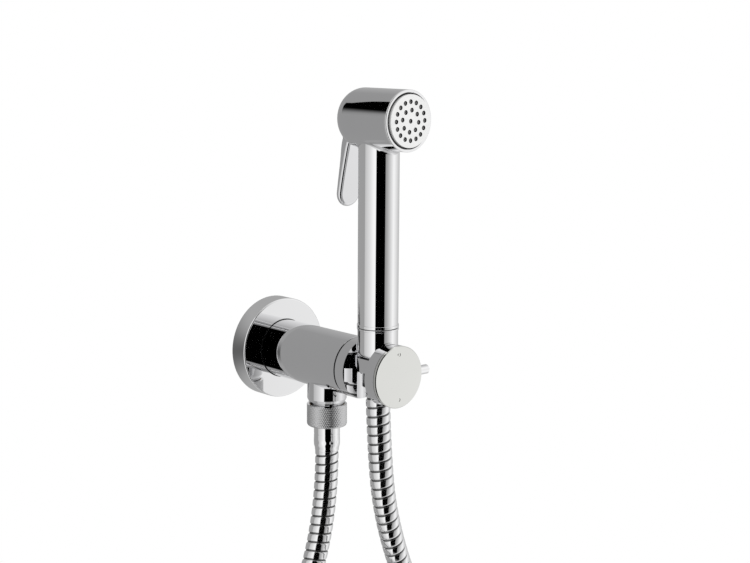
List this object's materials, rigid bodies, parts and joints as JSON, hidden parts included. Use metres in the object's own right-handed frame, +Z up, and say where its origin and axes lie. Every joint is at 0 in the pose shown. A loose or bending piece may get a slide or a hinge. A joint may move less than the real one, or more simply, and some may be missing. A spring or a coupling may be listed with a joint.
{
  "type": "bidet shower mixer",
  "caption": "Wall-mounted bidet shower mixer: round body with a side pin lever, a holder for the handset that turns with the lever, a trigger handset and a ribbed metal hose.",
  "frame": {"origin": "centre of the mixer body's back face, on the wall", "axes": "+Z up, -Y out from the wall along the barrel, +X to the right when facing the wall"},
  "size_m": [0.166, 0.1223, 0.4906],
  "materials": {
    "chrome": "polished",
    "chrome_hose": "polished, ribbed",
    "brass": "machined",
    "steel": "machined",
    "black_rubber": "matt",
    "black_plastic": "satin",
    "white_plastic": "satin",
    "silicone": "matt",
    "inner_plastic": "moulded",
    "ceramic": "lapped ceramic"
  },
  "bodies": {
    "root": {"wall_flange": "chrome", "flange_seal": "black_plastic", "wall_gasket": "black_rubber", "mixer_body": "chrome", "check_valves": "inner_plastic", "inlet_filters": "steel", "lock_screw": "steel", "cartridge_base_seal": "black_rubber", "ceramic_disc_fixed": "ceramic", "cartridge_housing": "inner_plastic", "cartridge_seals": "black_rubber", "cartridge_retainer": "brass", "glide_ring": "black_plastic", "outlet_nipple": "brass", "hose_nut": "chrome", "hose_washer": "black_rubber", "outlet_ferrule": "chrome", "hose_drop": "chrome_hose", "hose_coil": "chrome_hose", "hose_rise": "chrome_hose", "hose_tie": "black_plastic"},
    "mixer_control": {"mixer_handle": "chrome", "handle_screw": "steel", "seat_liner": "black_plastic", "handle_cap": "chrome", "lever_pin": "chrome", "cartridge_stem": "inner_plastic", "stem_seal": "black_rubber", "ceramic_disc_turning": "ceramic"},
    "hose_end": {"handset_ferrule": "chrome"},
    "handset": {"handset_nut": "chrome", "handset_washer": "black_rubber", "trim_ring": "black_plastic", "handset_inlet": "brass", "handset_tube": "chrome", "water_tube": "inner_plastic", "water_tube_seals": "black_rubber", "head_shell": "chrome", "face_ring": "chrome", "face_seal": "black_plastic", "spray_plate": "white_plastic", "nozzle_mat": "silicone", "water_distributor": "inner_plastic", "valve_housing": "inner_plastic", "rod_seal": "black_rubber", "valve_spring": "steel", "pivot_pin": "steel"},
    "trigger": {"trigger_lever": "chrome"},
    "valve": {"valve_plunger": "inner_plastic", "seat_washer": "black_rubber"}
  },
  "joints": [
    {"name": "mixer_turn", "type": "hinge", "parent": "root", "child": "mixer_control", "pos_m": [0, -0.0794, 0], "axis": [0, -1, 0], "range_deg": [0, 90], "deforming": ["hose_rise"]},
    {"name": "handset_lift", "type": "slide", "parent": "mixer_control", "child": "hose_end", "axis": [0, 0, 1], "range_m": [0, 0.02]},
    {"name": "handset_turn", "type": "hinge", "parent": "hose_end", "child": "handset", "pos_m": [0, -0.097, 0], "axis": [0, 0, 1], "continuous": true},
    {"name": "trigger_press", "type": "hinge", "parent": "handset", "child": "trigger", "pos_m": [0, -0.08, 0.1335], "axis": [-1, 0, 0], "range_deg": [0, 16], "stiffness_Nm_per_rad": 0.5, "springref_deg": -5.73},
    {"name": "valve_slide", "type": "slide", "parent": "handset", "child": "valve", "axis": [0, 1, 0], "range_m": [0, 0.003], "deforming": ["valve_spring"]}
  ],
  "couplings": [
    {"joint": "valve_slide", "follows": "trigger_press", "m_per_rad": 0.01}
  ]
}
